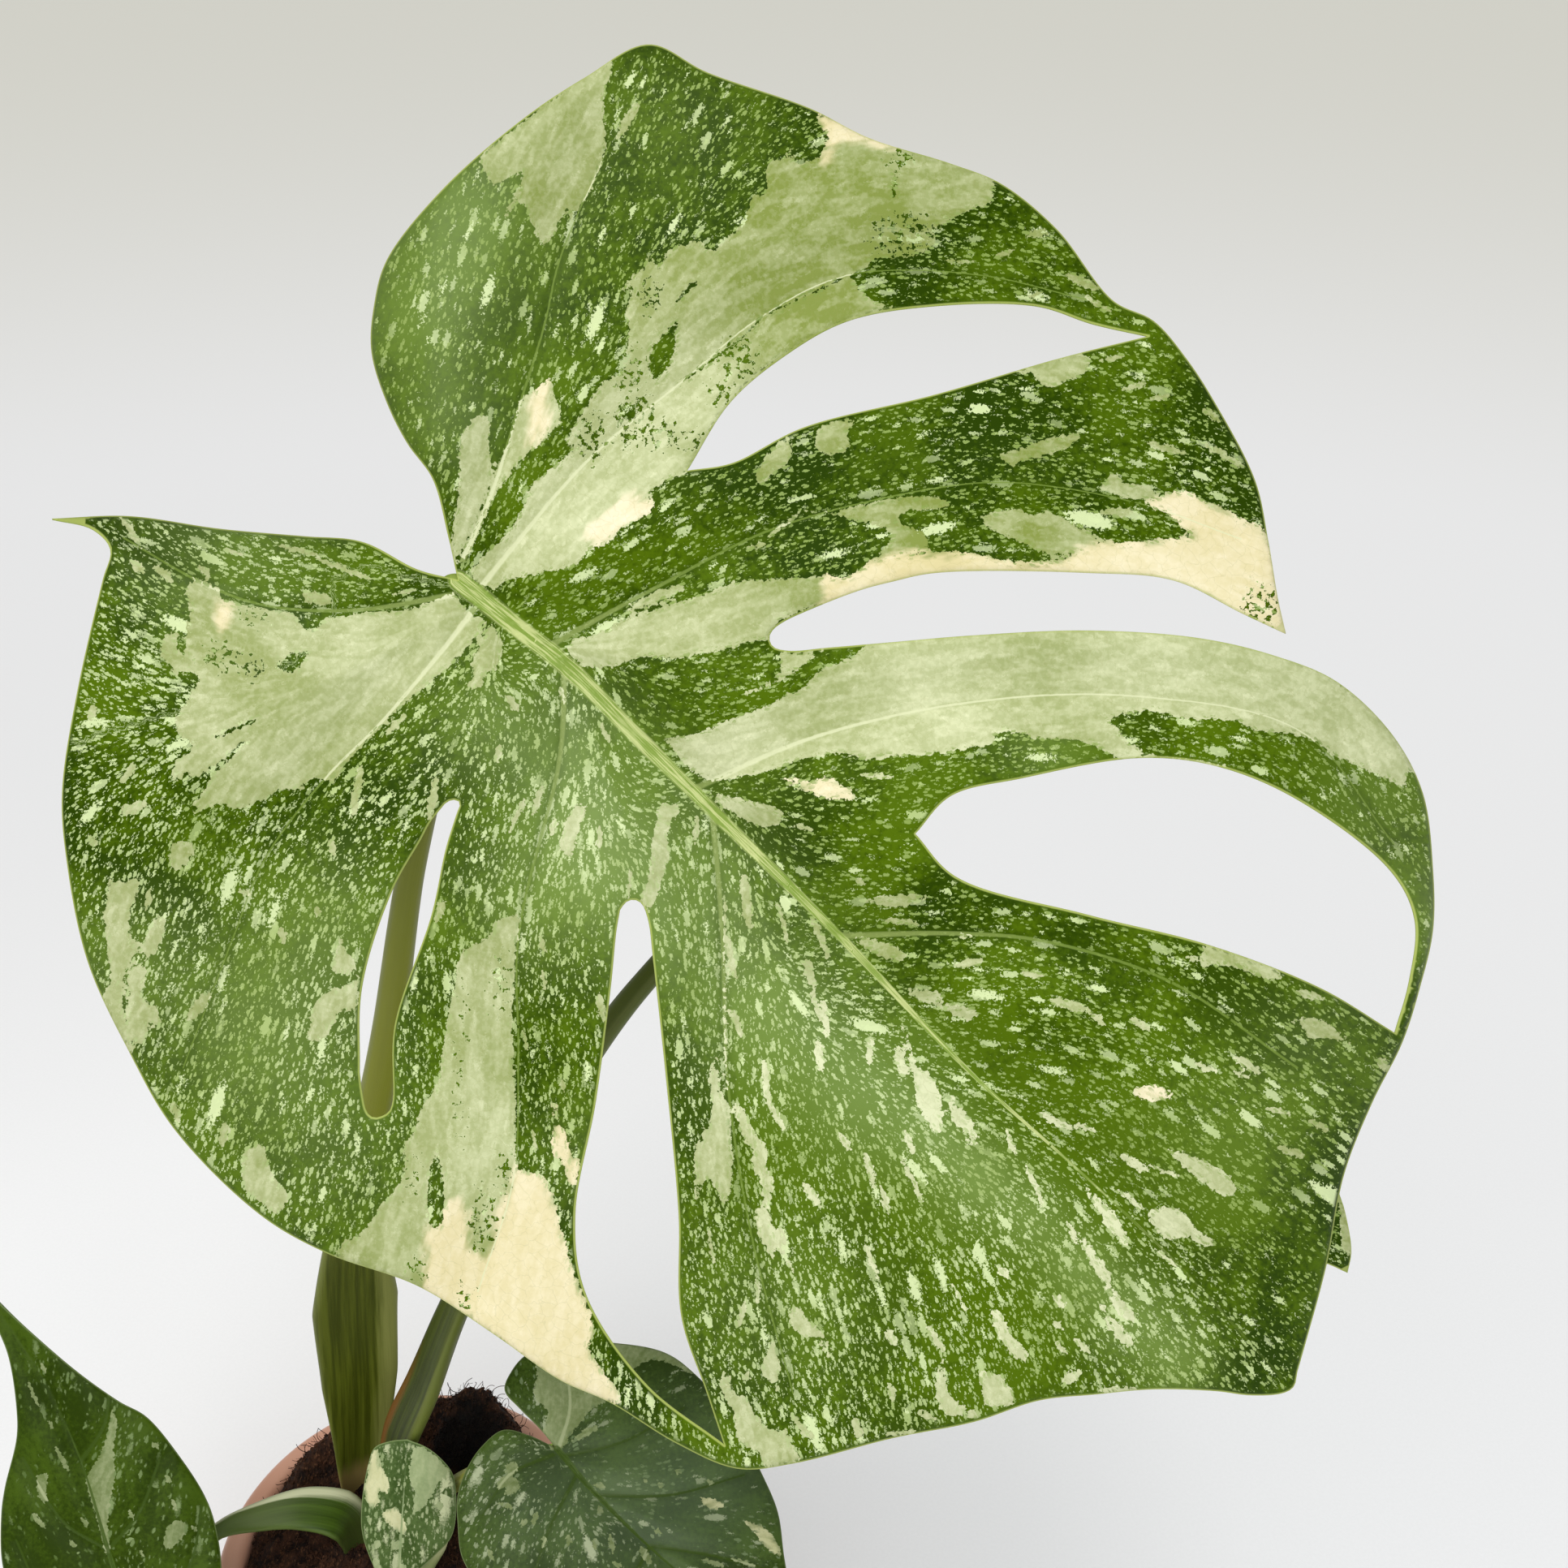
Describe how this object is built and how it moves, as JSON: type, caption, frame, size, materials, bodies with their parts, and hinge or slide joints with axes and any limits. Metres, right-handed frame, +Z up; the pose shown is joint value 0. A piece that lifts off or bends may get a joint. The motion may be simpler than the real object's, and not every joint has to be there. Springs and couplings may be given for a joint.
{
  "type": "potted thai constellation monstera",
  "caption": "Young variegated split-leaf plant on winged leaf stems, growing from heaped coir in a round tapered pot with a thick rim.",
  "frame": {"origin": "centre of the pot's flat underside, on the surface it stands on", "axes": "+Z up along the pot's axis, +Y away from the side that the large leaf faces, +X towards that leaf's tip"},
  "size_m": [0.4172, 0.1709, 0.5458],
  "materials": {
    "variegated_leaf": "satin",
    "young_leaf": "satin",
    "marbled_leaf": "satin",
    "leaf_stem": "satin",
    "striped_stem": "satin",
    "stem_bark": "matte",
    "coir": "matte",
    "pot_plastic": "satin"
  },
  "bodies": {
    "root": {"pot": "pot_plastic", "soil": "coir", "stem": "stem_bark", "petiole_main": "leaf_stem", "petiole_second": "leaf_stem", "petiole_left": "striped_stem", "petiole_right": "leaf_stem", "petiole_small": "leaf_stem", "sheath_young": "striped_stem", "leaf_main": "variegated_leaf", "leaf_second": "variegated_leaf", "leaf_left": "young_leaf", "leaf_right": "young_leaf", "leaf_small": "marbled_leaf"}
  },
  "joints": []
}
